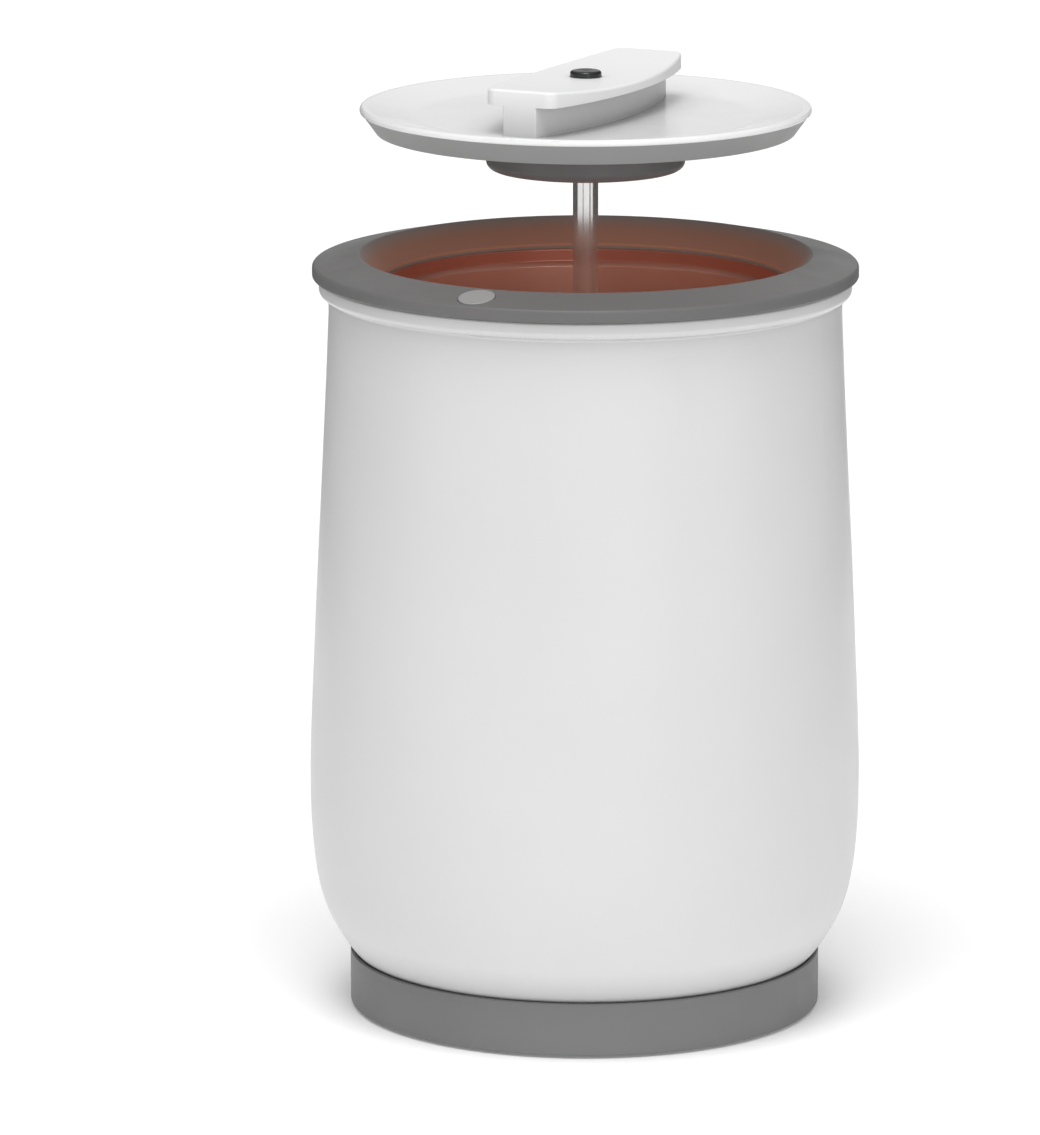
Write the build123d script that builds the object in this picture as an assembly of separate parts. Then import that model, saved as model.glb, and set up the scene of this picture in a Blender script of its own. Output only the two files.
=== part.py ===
from build123d import *
import math
import os

# Bucket towel warmer, in millimetres. +Z is up and the front is -Y.
# The origin is on the floor, on the tub's axis. The lid is shown raised on its rod.

# --- Tub ---
HOUSING_WALL = 2.8
HOUSING_BOTTOM = 26.0
HOUSING_FLANGE = 2.5
HOUSING_TOP = 409.5
# (radius, height) of the tub's outside, from the foot of the belly to the neck.
HOUSING_OUTLINE = [
    (122.6, 26.0),
    (128.6, 32.0),
    (137.6, 45.0),
    (143.3, 56.0),
    (149.2, 79.0),
    (152.1, 118.0),
    (150.6, 182.0),
    (147.6, 250.0),
    (143.8, 325.0),
    (141.0, 389.0),
]
BEAD_R = 3.5
BEAD_FILLET = 2.0
BEAD_ROUND = 2.0
BEAD_OUTER = 146.3
BEAD_CENTRE_Z = 403.2

# --- Rim ring ---
RIM_R = 150.0
RIM_SIDE_TOP = 416.4
RIM_MOUTH_R = 124.25
RIM_MOUTH_Z = 422.0
RIM_WALL = 2.4
RIM_SLOPE = (RIM_MOUTH_Z - RIM_SIDE_TOP) / (RIM_R - RIM_MOUTH_R)
FUNNEL_R = 111.6
FUNNEL_Z = 408.2
FUNNEL_SLOPE = (RIM_MOUTH_Z - FUNNEL_Z) / (RIM_MOUTH_R - FUNNEL_R)
COLLAR_BOTTOM = 406.8
RIM_FLANGE_R = 119.5
SKIRT_R = 138.0
SKIRT_INNER = 135.8
SKIRT_BOTTOM = 399.0

# --- Drum ---
DRUM_R = 108.0
DRUM_NECK_R = 110.5
DRUM_WALL = 1.5
DRUM_FLOOR = 70.0
DRUM_TOP = 405.3
DRUM_NECK_BOTTOM = 398.4
DRUM_SHOULDER = 396.0
DRUM_CORNER = 12.0
DRUM_SCREW_CIRCLE = 116.6
DRUM_SCREW_TIP = 408.6
DRUM_SCREW_ANGLES = [15.0, 75.0, 135.0, 195.0, 255.0, 315.0]

# --- Base ---
BASE_R = 130.3
BASE_WALL = 2.0
BASE_BOTTOM = 1.5
BASE_TOP = 31.0
LEDGE_BOTTOM = 22.0
LEDGE_INNER = 104.0
COVER_BOTTOM = 3.0
COVER_THICK = 2.5
COVER_TOP = COVER_BOTTOM + COVER_THICK
COVER_SCREW_CIRCLE = 112.0
COVER_SCREW_TURN = 20.0
COVER_SCREW_TIP = 14.0
HOUSING_SCREW_CIRCLE = 109.0
FOOT_CIRCLE = 105.0
FOOT_R = 8.0
FOOT_STEM_R = 3.0
SUPPORT_R = 125.0
SUPPORT_LEG_CIRCLE = 110.0
SUPPORT_BOTTOM = 54.0
SUPPORT_TOP = 57.0
HEATER_PLATE_BOTTOM = 66.5
HEATER_THICK = 1.6
HEATER_BOTTOM = 110.0
HEATER_TOP = 330.0
SENSOR_Z = 88.0
LEAD_ANGLE = 123.0
LEAD_CIRCLE = 116.0

# --- Power board ---
BOARD_X = 110.0
BOARD_Y = 76.0
BOARD_CENTRE_Y = 18.0
BOARD_BOTTOM = 14.0
BOARD_TOP = 15.6
BOARD_SCREW_X = 50.0
BOARD_SCREW_Y = 33.0
GLAND_Z = 13.0
GLAND_BORE = 3.6
GLAND_R = 4.9
GLAND_INNER_END = 114.0
GLAND_SHOULDER_END = 134.5
GLAND_OUTER_END = 143.0

# --- Guide tube, rod and grip ---
TUBE_R = 11.0
TUBE_BORE = 9.5
TUBE_BOTTOM = 58.0
TUBE_TOP = 250.0
BUSH_BOTTOM = 235.0
ROD_R = 7.0
ROD_BORE = 4.0
ROD_BOTTOM = 160.0
ROD_TOP = 502.0
RUNNING = 0.05
COLLET_BOTTOM = 150.0
COLLET_TOP = 174.0
PUSH_ROD_R = 2.4
PUSH_ROD_BOTTOM = 152.0
CONE_TOP = 158.0
GROOVE_R = 6.0
GROOVE_BOTTOM = 498.3
GROOVE_TOP = 499.5

# --- Lid, raised ---
LID_BOTTOM = 489.4
LID_BOTTOM_R = 114.6
LID_SKIN = 2.5
LID_FLOOR_TOP = LID_BOTTOM + LID_SKIN
LID_EDGE_R = 123.6
LID_EDGE_BOTTOM = 500.4
LID_EDGE_TOP = 503.8
LID_DISH = 498.2
LID_DISH_R = 95.0
LID_DISH_UNDER = LID_DISH - LID_SKIN
LID_SCREW_CIRCLE = 100.0
LID_SCREW_RECESS = 1.3
LID_SCREW_TIP = 496.4
HUB_R = 12.0
HUB_HOLE = 12.2
HUB_TOP = 506.3
HUB_SHOULDER = 498.0
HUB_FLANGE_R = 17.0
HUB_FLANGE_BOTTOM = 487.9
HUB_CUP_R = 9.6
NUT_TOP = 501.4

# --- Handle ---
HANDLE_HALF_LENGTH = 84.5
HANDLE_HALF_MIDDLE = 33.0
HANDLE_HALF_END = 19.5
HANDLE_OVERHANG = 9.8
HANDLE_CORNER = 7.0
HANDLE_WALL = 2.5
HANDLE_PLATE_BOTTOM = 514.6
HANDLE_MIDDLE_TOP = 519.6
HANDLE_END_TOP = 523.6
HANDLE_HOLLOW_TOP = 516.8
HANDLE_SCREW_TIP = 509.0
HANDLE_SCREWS = [(x, y) for x in (-11.0, 11.0) for y in (-48.0, 48.0)]
KNOB_R = 8.6
KNOB_TOP = 523.2
KNOB_BOTTOM = 512.4
KNOB_FLANGE_R = 12.6
KNOB_FLANGE = 1.9
WELL_R = 13.6
WELL_OUTER = 19.5
NUT_WELL_R = 17.2
NUT_WELL_TOP = 503.0

# --- Tray under the lid ---
TRAY_R = 54.5
TRAY_WALL = 2.2
TRAY_BOTTOM = 469.0
TRAY_TOP = 489.1
TRAY_HOLE = 9.0
TRAY_FLOOR = 471.0
TRAY_COLLAR_TOP = 480.0
SOCKET_R = 49.7
SOCKET_BOTTOM = 483.6
LUG_TOP = 485.6
LUG_HALF_ANGLE = 8.0
LUG_ANGLES = [30.0, 150.0, 270.0]

# --- Power button, in the rim ring's sloping top ---
# Heights and shifts here are in the button's own tilted plane.
BUTTON_CIRCLE = 137.5
BUTTON_R = 10.0
BUTTON_GAP = 0.3
BUTTON_EAR = 6.8
SWITCH_SHIFT = 4.4
CONTROL_BOARD_SHIFT = 7.7
CONTROL_BOARD_DEPTH = 12.6
CONTROL_BOARD_TOP = -12.6
CONTROL_BOARD_THICK = 1.6
CONTROL_POST_X = 16.5

QUARTERS = [0.0, 90.0, 180.0, 270.0]
M3_R = 1.5


def turned(*corners):
    """Solid of revolution about Z. Each corner is (radius, height, fillet)."""
    points = [(r, z) for r, z, _ in corners]
    fillets = [f for _, _, f in corners]
    outline = FilletPolyline(*points, radius=fillets, close=True)
    return revolve(Plane.XZ * make_face(outline.edges()), Axis.Z)


def rod_at(radius, low, high, x=0.0, y=0.0):
    """Upright cylinder from one height to another."""
    return Pos(x, y, (low + high) / 2) * Cylinder(radius, high - low)


def sleeve(inner, outer, low, high, x=0.0, y=0.0):
    """Upright tube from one height to another."""
    return rod_at(outer, low, high, x, y) - rod_at(inner, low, high, x, y)


def block(size_x, size_y, low, high, x=0.0, y=0.0):
    """Box from one height to another."""
    return Pos(x, y, (low + high) / 2) * Box(size_x, size_y, high - low)


def on_circle(radius, angles):
    """Points at these angles, counted from +X."""
    places = []
    for angle in angles:
        turn = math.radians(angle)
        places.append((radius * math.cos(turn), radius * math.sin(turn)))
    return places


def turned_by(offset):
    """Four places a quarter turn apart, turned by an offset."""
    return [angle + offset for angle in QUARTERS]


def pan_screw(x, y, seat, tip, head_r=3.0, head=1.4, shank=M3_R):
    """Screw driven from below: its head is under the seat height."""
    return rod_at(head_r, seat - head, seat, x, y) + rod_at(shank, seat, tip, x, y)


def hexagon(across_flats, low, high):
    """Upright hexagonal bar."""
    corner = across_flats / math.sqrt(3)
    return Pos(0, 0, low) * extrude(RegularPolygon(corner, 6), high - low)


def wire(points, radii, radius):
    """Round cable along straight runs joined by tangent arcs."""
    path = FilletPolyline(*points, radius=radii)
    start = Plane(origin=path @ 0, z_dir=path % 0)
    return sweep(start * Circle(radius), path=path)


def sector(inner, outer, low, high, angle, half_angle):
    """Part of a tube that spans an angle either side of a direction."""
    profile = Pos((inner + outer) / 2, (low + high) / 2) * Rectangle(outer - inner, high - low)
    piece = revolve(Plane.XZ * profile, Axis.Z, 2 * half_angle)
    return Rot(0, 0, angle - half_angle) * piece


# ---------------------------------------------------------------- tub and base


def outer_housing():
    """Belly and neck in one wall, with a rolled bead on top and a flange below."""
    top_r = HOUSING_OUTLINE[-1][0]
    fillet_x = top_r + BEAD_FILLET
    bead_x = BEAD_OUTER - BEAD_R
    drop = math.sqrt((BEAD_R + BEAD_FILLET) ** 2 - (fillet_x - bead_x) ** 2)
    fillet_z = BEAD_CENTRE_Z - drop
    share = BEAD_R / (BEAD_R + BEAD_FILLET)
    meet = (bead_x + share * (fillet_x - bead_x), BEAD_CENTRE_Z - share * drop)
    slant = math.sqrt(0.5)
    belly = Spline(*HOUSING_OUTLINE)
    neck = Line(HOUSING_OUTLINE[-1], (top_r, fillet_z))
    cove = ThreePointArc(
        (top_r, fillet_z),
        (fillet_x - slant * BEAD_FILLET, fillet_z + slant * BEAD_FILLET),
        meet,
    )
    bead = ThreePointArc(
        meet,
        (bead_x + slant * BEAD_R, BEAD_CENTRE_Z - slant * BEAD_R),
        (BEAD_OUTER, BEAD_CENTRE_Z),
    )
    inside = [(r - HOUSING_WALL, z) for r, z in HOUSING_OUTLINE[1:]]
    floor_z = HOUSING_BOTTOM + HOUSING_FLANGE
    inside_foot = (HOUSING_OUTLINE[0][0] - 0.4, floor_z)
    inner_belly = Spline(inside_foot, *inside)
    side = Line((BEAD_OUTER, BEAD_CENTRE_Z), (BEAD_OUTER, HOUSING_TOP - BEAD_ROUND))
    shoulder = ThreePointArc(
        (BEAD_OUTER, HOUSING_TOP - BEAD_ROUND),
        (
            BEAD_OUTER - BEAD_ROUND + slant * BEAD_ROUND,
            HOUSING_TOP - BEAD_ROUND + slant * BEAD_ROUND,
        ),
        (BEAD_OUTER - BEAD_ROUND, HOUSING_TOP),
    )
    crown = Polyline(
        (BEAD_OUTER - BEAD_ROUND, HOUSING_TOP),
        (inside[-1][0], HOUSING_TOP),
        inside[-1],
    )
    flange = Polyline(
        inside_foot,
        (LEDGE_INNER, floor_z),
        (LEDGE_INNER, HOUSING_BOTTOM),
        HOUSING_OUTLINE[0],
    )
    edges = [belly, neck, cove, bead, side, shoulder, crown, inner_belly, flange]
    outline = [edge for line in edges for edge in line.edges()]
    wall = revolve(Plane.XZ * make_face(outline), Axis.Z)
    for x, y in on_circle(HOUSING_SCREW_CIRCLE, QUARTERS):
        wall -= rod_at(M3_R, HOUSING_BOTTOM, floor_z, x, y)
    return wall


def base_ring():
    """Grey ring with an inner ledge that the tub is screwed to."""
    inner = BASE_R - BASE_WALL
    ring = turned(
        (BASE_R, BASE_BOTTOM, 1.2),
        (BASE_R, BASE_TOP, 0.9),
        (inner, BASE_TOP, 0.4),
        (inner, HOUSING_BOTTOM, 0),
        (LEDGE_INNER, HOUSING_BOTTOM, 0),
        (LEDGE_INNER, LEDGE_BOTTOM, 0),
        (inner, LEDGE_BOTTOM, 0),
        (inner, BASE_BOTTOM, 0.4),
    )
    for x, y in on_circle(COVER_SCREW_CIRCLE, turned_by(COVER_SCREW_TURN)):
        ring += rod_at(5.0, COVER_TOP, LEDGE_BOTTOM, x, y)
        ring -= rod_at(M3_R, COVER_TOP, COVER_SCREW_TIP, x, y)
    for x, y in on_circle(HOUSING_SCREW_CIRCLE, QUARTERS):
        ring -= rod_at(1.6, LEDGE_BOTTOM, HOUSING_BOTTOM, x, y)
    gland_hole = Pos(0, BASE_R, GLAND_Z) * Rot(90, 0, 0) * Cylinder(5.0, 12.0)
    return ring - gland_hole


def bottom_cover():
    """Flat cover with standoffs for the power board, and vent slots."""
    cover = rod_at(BASE_R - BASE_WALL - 0.3, COVER_BOTTOM, COVER_TOP)
    for x in (-BOARD_SCREW_X, BOARD_SCREW_X):
        for y in (-BOARD_SCREW_Y, BOARD_SCREW_Y):
            cover += rod_at(4.0, COVER_TOP, BOARD_BOTTOM, x, y + BOARD_CENTRE_Y)
            cover -= rod_at(1.3, 7.0, BOARD_BOTTOM, x, y + BOARD_CENTRE_Y)
    for x, y in on_circle(COVER_SCREW_CIRCLE, turned_by(COVER_SCREW_TURN)):
        cover -= rod_at(1.6, COVER_BOTTOM, COVER_TOP, x, y)
    for x, y in on_circle(FOOT_CIRCLE, turned_by(45.0)):
        cover -= rod_at(FOOT_STEM_R, COVER_BOTTOM, COVER_TOP, x, y)
    slot = extrude(SlotOverall(44.0, 3.2), COVER_THICK)
    for row in range(5):
        cover -= Pos(0, -78.0 + 8.0 * row, COVER_BOTTOM) * slot
    return cover


def base_feet():
    """Rubber feet, each with a stem and a head that hold it in the cover."""
    foot = turned(
        (0, 0, 0),
        (FOOT_R, 0, 0.8),
        (FOOT_R, COVER_BOTTOM, 0),
        (FOOT_STEM_R, COVER_BOTTOM, 0),
        (FOOT_STEM_R, COVER_TOP, 0),
        (FOOT_STEM_R + 1.2, COVER_TOP, 0),
        (FOOT_STEM_R, COVER_TOP + 2.0, 0),
        (0, COVER_TOP + 2.0, 0),
    )
    return [Pos(x, y, 0) * foot for x, y in on_circle(FOOT_CIRCLE, turned_by(45.0))]


def bottom_screws():
    """Screws that hold the bottom cover to the base ring."""
    places = on_circle(COVER_SCREW_CIRCLE, turned_by(COVER_SCREW_TURN))
    return [pan_screw(x, y, COVER_BOTTOM, COVER_SCREW_TIP, head=1.3) for x, y in places]


def housing_screws():
    """Screws that hold the tub to the base ring's ledge."""
    tip = HOUSING_BOTTOM + HOUSING_FLANGE
    places = on_circle(HOUSING_SCREW_CIRCLE, QUARTERS)
    return [pan_screw(x, y, LEDGE_BOTTOM, tip) for x, y in places]


def drum_support():
    """Plate under the drum that stands on the tub's flange on four legs."""
    foot_z = HOUSING_BOTTOM + HOUSING_FLANGE
    plate = rod_at(SUPPORT_R, SUPPORT_BOTTOM, SUPPORT_TOP)
    for x, y in on_circle(SUPPORT_LEG_CIRCLE, turned_by(45.0)):
        plate += rod_at(4.5, foot_z, SUPPORT_BOTTOM, x, y)
    lead_x, lead_y = on_circle(LEAD_CIRCLE, [LEAD_ANGLE])[0]
    return plate - rod_at(3.0, SUPPORT_BOTTOM, SUPPORT_TOP, lead_x, lead_y)


# ---------------------------------------------------------------- rim ring and drum


def button_plane():
    """Plane on the rim ring's sloping top, at the middle of the power button."""
    height = RIM_MOUTH_Z - (BUTTON_CIRCLE - RIM_MOUTH_R) * RIM_SLOPE
    tilt = math.atan(RIM_SLOPE)
    normal = (0, -math.sin(tilt), math.cos(tilt))
    return Plane(origin=(0, -BUTTON_CIRCLE, height), x_dir=(1, 0, 0), z_dir=normal)


def tilted_rod(radius, low, high, x=0.0, y=0.0):
    """Cylinder square to the button's own plane, from one height to another."""
    return button_plane() * rod_at(radius, low, high, x, y)


def rim_ring():
    """Ring that caps the tub, with a funnel mouth and a flange that the drum hangs from."""
    under_edge_z = RIM_SIDE_TOP - RIM_WALL + 0.5
    inside_r = RIM_R - RIM_WALL
    floor_z = HOUSING_TOP + RIM_WALL
    flange_top = COLLAR_BOTTOM + RIM_WALL
    drop = RIM_WALL * math.sqrt(1 + FUNNEL_SLOPE**2)
    funnel_offset = FUNNEL_Z - FUNNEL_SLOPE * FUNNEL_R - drop
    plate_offset = RIM_MOUTH_Z - RIM_WALL + RIM_MOUTH_R * RIM_SLOPE
    mouth_r = (plate_offset - funnel_offset) / (FUNNEL_SLOPE + RIM_SLOPE)
    ring = turned(
        (RIM_R, HOUSING_TOP, 1.4),
        (RIM_R, RIM_SIDE_TOP, 2.0),
        (RIM_MOUTH_R, RIM_MOUTH_Z, 1.2),
        (FUNNEL_R, FUNNEL_Z, 0.8),
        (FUNNEL_R, COLLAR_BOTTOM, 0),
        (RIM_FLANGE_R, COLLAR_BOTTOM, 0),
        (RIM_FLANGE_R, flange_top, 0),
        ((flange_top - funnel_offset) / FUNNEL_SLOPE, flange_top, 0),
        (mouth_r, plate_offset - RIM_SLOPE * mouth_r, 0),
        (inside_r, under_edge_z, 0),
        (inside_r, floor_z, 0),
        (SKIRT_INNER, floor_z, 0),
        (SKIRT_INNER, SKIRT_BOTTOM, 0.5),
        (SKIRT_R, SKIRT_BOTTOM, 0.5),
        (SKIRT_R, HOUSING_TOP, 0),
    )
    for x, y in on_circle(DRUM_SCREW_CIRCLE, DRUM_SCREW_ANGLES):
        ring += rod_at(2.8, COLLAR_BOTTOM, DRUM_SCREW_TIP + 1.4, x, y)
        ring -= rod_at(1.25, COLLAR_BOTTOM, DRUM_SCREW_TIP, x, y)
    ring -= tilted_rod(BUTTON_R + BUTTON_GAP, -3.6, 3.0)
    pin_low = CONTROL_BOARD_TOP - CONTROL_BOARD_THICK - 0.6
    for x in (-CONTROL_POST_X, CONTROL_POST_X):
        ring += tilted_rod(2.2, CONTROL_BOARD_TOP, -2.0, x, CONTROL_BOARD_SHIFT)
        ring += tilted_rod(1.0, pin_low, CONTROL_BOARD_TOP, x, CONTROL_BOARD_SHIFT)
    return ring


def inner_drum():
    """Drawn metal drum with a stepped neck, a flange, and a hole for the guide tube."""
    outer = DRUM_R + DRUM_WALL
    neck_outer = DRUM_NECK_R + DRUM_WALL
    floor = DRUM_FLOOR - DRUM_WALL
    drum = turned(
        (TUBE_R + RUNNING, floor, 0),
        (outer, floor, DRUM_CORNER + DRUM_WALL),
        (outer, DRUM_SHOULDER - DRUM_WALL, 1.6),
        (neck_outer, DRUM_NECK_BOTTOM - DRUM_WALL, 1.6),
        (neck_outer, DRUM_TOP - DRUM_WALL, 0),
        (RIM_FLANGE_R, DRUM_TOP - DRUM_WALL, 0),
        (RIM_FLANGE_R, DRUM_TOP, 0),
        (DRUM_NECK_R, DRUM_TOP, 0.8),
        (DRUM_NECK_R, DRUM_NECK_BOTTOM, 1.0),
        (DRUM_R, DRUM_SHOULDER, 1.0),
        (DRUM_R, DRUM_FLOOR, DRUM_CORNER),
        (TUBE_R + RUNNING, DRUM_FLOOR, 0),
    )
    for x, y in on_circle(DRUM_SCREW_CIRCLE, DRUM_SCREW_ANGLES):
        drum -= rod_at(1.4, DRUM_TOP - DRUM_WALL, DRUM_TOP, x, y)
    return drum


def drum_gasket():
    """Flat silicone ring between the drum and the rim ring's collar."""
    return sleeve(FUNNEL_R + 0.2, FUNNEL_R + 2.4, DRUM_TOP, COLLAR_BOTTOM)


def drum_screws():
    """Screws that hang the drum from the rim ring."""
    places = on_circle(DRUM_SCREW_CIRCLE, DRUM_SCREW_ANGLES)
    seat = DRUM_TOP - DRUM_WALL
    return [pan_screw(x, y, seat, DRUM_SCREW_TIP, head_r=2.5, shank=1.25) for x, y in places]


def side_heater():
    """Heating wrap round the drum, with a seam at the rear."""
    outer = DRUM_R + DRUM_WALL
    wrap = sleeve(outer, outer + HEATER_THICK, HEATER_BOTTOM, HEATER_TOP)
    return wrap - block(8.0, 20.0, HEATER_BOTTOM, HEATER_TOP, 0, outer)


def bottom_heater():
    """Heating ring under the drum's floor."""
    ring = sleeve(26.0, 92.0, HEATER_PLATE_BOTTOM, DRUM_FLOOR - DRUM_WALL)
    for radius in (42.0, 58.0, 74.0):
        groove = sleeve(radius, radius + 3.0, HEATER_PLATE_BOTTOM, HEATER_PLATE_BOTTOM + 0.8)
        ring -= groove
    return ring


def insulation_wrap():
    """Felt wrap round the side heater."""
    return sleeve(DRUM_R + DRUM_WALL + HEATER_THICK + 0.3, 121.0, 112.0, 385.0)


def bottom_insulation():
    """Insulating disc between the support and the bottom heater."""
    return sleeve(21.0, 96.0, SUPPORT_TOP, HEATER_PLATE_BOTTOM)


def wall_sensor(angle, radius, depth):
    """Round sensor flat against the drum wall at one angle."""
    flat = DRUM_R + DRUM_WALL
    body = Pos(flat + 0.4 + depth / 2, 0, SENSOR_Z) * Rot(0, 90, 0) * Cylinder(radius, depth)
    tabs = Pos(flat + 1.4 + depth, 0, SENSOR_Z) * Box(2.0, 2.0 * radius, 4.0)
    return Rot(0, 0, angle) * (body + tabs)


def thermostat():
    """Bimetal thermostat on the drum wall."""
    return wall_sensor(0.0, 8.5, 8.0)


def thermal_fuse():
    """Thermal fuse on the drum wall."""
    return wall_sensor(62.0, 3.5, 5.0)


# ---------------------------------------------------------------- electrics


def power_board():
    """Circuit board on the bottom cover's standoffs."""
    board = block(BOARD_X, BOARD_Y, BOARD_BOTTOM, BOARD_TOP, 0, BOARD_CENTRE_Y)
    for x in (-BOARD_SCREW_X, BOARD_SCREW_X):
        for y in (-BOARD_SCREW_Y, BOARD_SCREW_Y):
            board -= rod_at(1.5, BOARD_BOTTOM, BOARD_TOP, x, y + BOARD_CENTRE_Y)
    return board


def board_screws():
    """Screws that hold the power board, driven from above."""
    screws = []
    for x in (-BOARD_SCREW_X, BOARD_SCREW_X):
        for y in (-BOARD_SCREW_Y, BOARD_SCREW_Y):
            centre = y + BOARD_CENTRE_Y
            head = rod_at(2.6, BOARD_TOP, BOARD_TOP + 1.6, x, centre)
            screws.append(head + rod_at(1.3, 7.0, BOARD_TOP, x, centre))
    return screws


def transformer():
    """Small transformer: a laminated core round a coil former."""
    core = block(36.0, 16.0, BOARD_TOP + 2.0, BOARD_TOP + 28.0, -26.0, 8.0)
    coil = block(24.0, 28.0, BOARD_TOP, BOARD_TOP + 24.0, -26.0, 8.0)
    return core + fillet(coil.edges().filter_by(Axis.Z), 3.0)


def relay():
    """Relay that switches the heaters."""
    case = block(28.0, 12.0, BOARD_TOP, BOARD_TOP + 16.0, 24.0, 8.0)
    return fillet(case.edges().filter_by(Axis.Z), 0.8)


def capacitor():
    """Upright capacitor."""
    can = rod_at(6.3, BOARD_TOP, BOARD_TOP + 20.0, 4.0, 34.0)
    return fillet(can.edges().group_by(Axis.Z)[-1], 1.0)


def terminal_block():
    """Three-way screw terminal at the rear edge of the board."""
    case = block(30.0, 11.0, BOARD_TOP, BOARD_TOP + 13.0, 28.0, 48.0)
    for way in (-9.0, 0.0, 9.0):
        case -= rod_at(2.4, BOARD_TOP + 7.0, BOARD_TOP + 13.0, 28.0 + way, 48.0)
    return case


def along_y(radius, low, high, z):
    """Cylinder that lies along Y."""
    return Pos(0, (low + high) / 2, z) * Rot(90, 0, 0) * Cylinder(radius, high - low)


def cord_gland():
    """Gland through the rear of the base ring: shoulder, threaded body and dome."""
    body = along_y(GLAND_R, GLAND_INNER_END, BASE_R, GLAND_Z)
    shoulder = along_y(8.0, BASE_R, GLAND_SHOULDER_END, GLAND_Z)
    dome = along_y(6.8, GLAND_SHOULDER_END, GLAND_OUTER_END, GLAND_Z)
    dome = fillet(dome.edges().group_by(Axis.Y)[-1], 2.2)
    return body + shoulder + dome - along_y(GLAND_BORE, GLAND_INNER_END, GLAND_OUTER_END, GLAND_Z)


def gland_nut():
    """Lock nut on the gland, inside the base ring."""
    wall = math.sqrt((BASE_R - BASE_WALL) ** 2 - 8.0**2)
    nut = Rot(90, 0, 0) * (Pos(0, 0, -wall) * extrude(RegularPolygon(7.8, 6), 5.0))
    return Pos(0, 0, GLAND_Z) * nut - along_y(GLAND_R, 110.0, 130.0, GLAND_Z)


def mains_lead_inner():
    """Lead from inside the gland to the terminal block."""
    points = [
        (0, 126.0, GLAND_Z),
        (0, 108.0, GLAND_Z),
        (4.0, 88.0, 18.0),
        (24.0, 70.0, 22.0),
        (28.0, 62.0, 22.0),
        (28.0, 53.6, 22.0),
    ]
    return wire(points, [22.0, 14.0, 8.0, 8.0], 3.0)


def heater_lead():
    """Lead from the power board up to the lower edge of the side heater."""
    hole_x, hole_y = on_circle(LEAD_CIRCLE, [LEAD_ANGLE])[0]
    end_x, end_y = on_circle(DRUM_R + DRUM_WALL + HEATER_THICK, [LEAD_ANGLE])[0]
    points = [
        (-30.0, 44.0, BOARD_TOP),
        (-30.0, 44.0, 34.0),
        (hole_x, hole_y, 42.0),
        (hole_x, hole_y, 78.0),
        (end_x, end_y, 96.0),
        (end_x, end_y, HEATER_BOTTOM),
    ]
    return wire(points, [7.0, 14.0, 16.0, 14.0], 1.2)


def control_cable():
    """Cable from the power board's front edge up the front of the tub to the rim."""
    points = [
        (12.0, -129.1, 406.0),
        (12.0, -129.1, 47.0),
        (14.0, -110.0, 34.0),
        (17.0, -70.0, 27.0),
        (20.0, -30.0, 17.4),
        (20.0, -18.0, 17.4),
    ]
    return wire(points, [10.0, 20.0, 60.0, 20.0], 1.6)


def control_board():
    """Small board held on two posts under the rim ring."""
    low = CONTROL_BOARD_TOP - CONTROL_BOARD_THICK
    board = block(42.0, CONTROL_BOARD_DEPTH, low, CONTROL_BOARD_TOP, 0, CONTROL_BOARD_SHIFT)
    for x in (-CONTROL_POST_X, CONTROL_POST_X):
        board -= rod_at(1.0, low, CONTROL_BOARD_TOP, x, CONTROL_BOARD_SHIFT)
    return button_plane() * board


def tact_switch():
    """Push switch on the control board, under the power button."""
    case_top = CONTROL_BOARD_TOP + 3.5
    case = block(6.2, 6.2, CONTROL_BOARD_TOP, case_top, 0, SWITCH_SHIFT)
    plunger = rod_at(1.7, case_top, case_top + 1.0, 0, SWITCH_SHIFT)
    return button_plane() * (case + plunger)


def power_button():
    """Round cap with ears under the rim ring and a post over the switch."""
    cap = rod_at(BUTTON_R, -3.0, 0.7)
    cap = fillet(cap.edges().group_by(Axis.Z)[-1], 0.6)
    ears = rod_at(BUTTON_R + 1.4, -4.2, -2.7) & Box(40.0, 2 * BUTTON_EAR, 20.0)
    post = rod_at(2.2, -6.8, -4.2, 0, SWITCH_SHIFT)
    return button_plane() * (cap + ears + post)


# ---------------------------------------------------------------- guide, rod and grip


def guide_tube():
    """Blind tube on the drum's axis, with a flange on the drum's floor."""
    return turned(
        (0, TUBE_BOTTOM, 0),
        (TUBE_R, TUBE_BOTTOM, 1.0),
        (TUBE_R, DRUM_FLOOR, 0),
        (20.0, DRUM_FLOOR, 0),
        (20.0, DRUM_FLOOR + 2.5, 1.0),
        (TUBE_R, DRUM_FLOOR + 2.5, 1.2),
        (TUBE_R, TUBE_TOP, 0),
        (TUBE_BORE, TUBE_TOP, 0),
        (TUBE_BORE, TUBE_BOTTOM + 2.5, 1.0),
        (0, TUBE_BOTTOM + 2.5, 0),
    )


def guide_nut():
    """Hexagonal nut that clamps the guide tube under the drum's floor."""
    top = DRUM_FLOOR - DRUM_WALL
    return hexagon(34.0, top - 7.5, top) - rod_at(TUBE_R, top - 7.5, top)


def guide_bush():
    """Flanged bush in the guide tube's mouth, in which the rod slides."""
    return turned(
        (ROD_R + RUNNING, BUSH_BOTTOM, 0.6),
        (TUBE_BORE, BUSH_BOTTOM, 0),
        (TUBE_BORE, TUBE_TOP, 0),
        (TUBE_R, TUBE_TOP, 0),
        (TUBE_R, TUBE_TOP + 2.5, 0.8),
        (ROD_R + RUNNING, TUBE_TOP + 2.5, 0.6),
    )


def lift_rod():
    """Hollow polished rod with a groove for the circlip near its top."""
    rod = turned(
        (ROD_BORE, ROD_BOTTOM, 0),
        (ROD_R, ROD_BOTTOM, 0),
        (ROD_R, ROD_TOP, 0.8),
        (ROD_BORE, ROD_TOP, 0),
    )
    return rod - sleeve(GROOVE_R, ROD_R + 1.0, GROOVE_BOTTOM, GROOVE_TOP)


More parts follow.
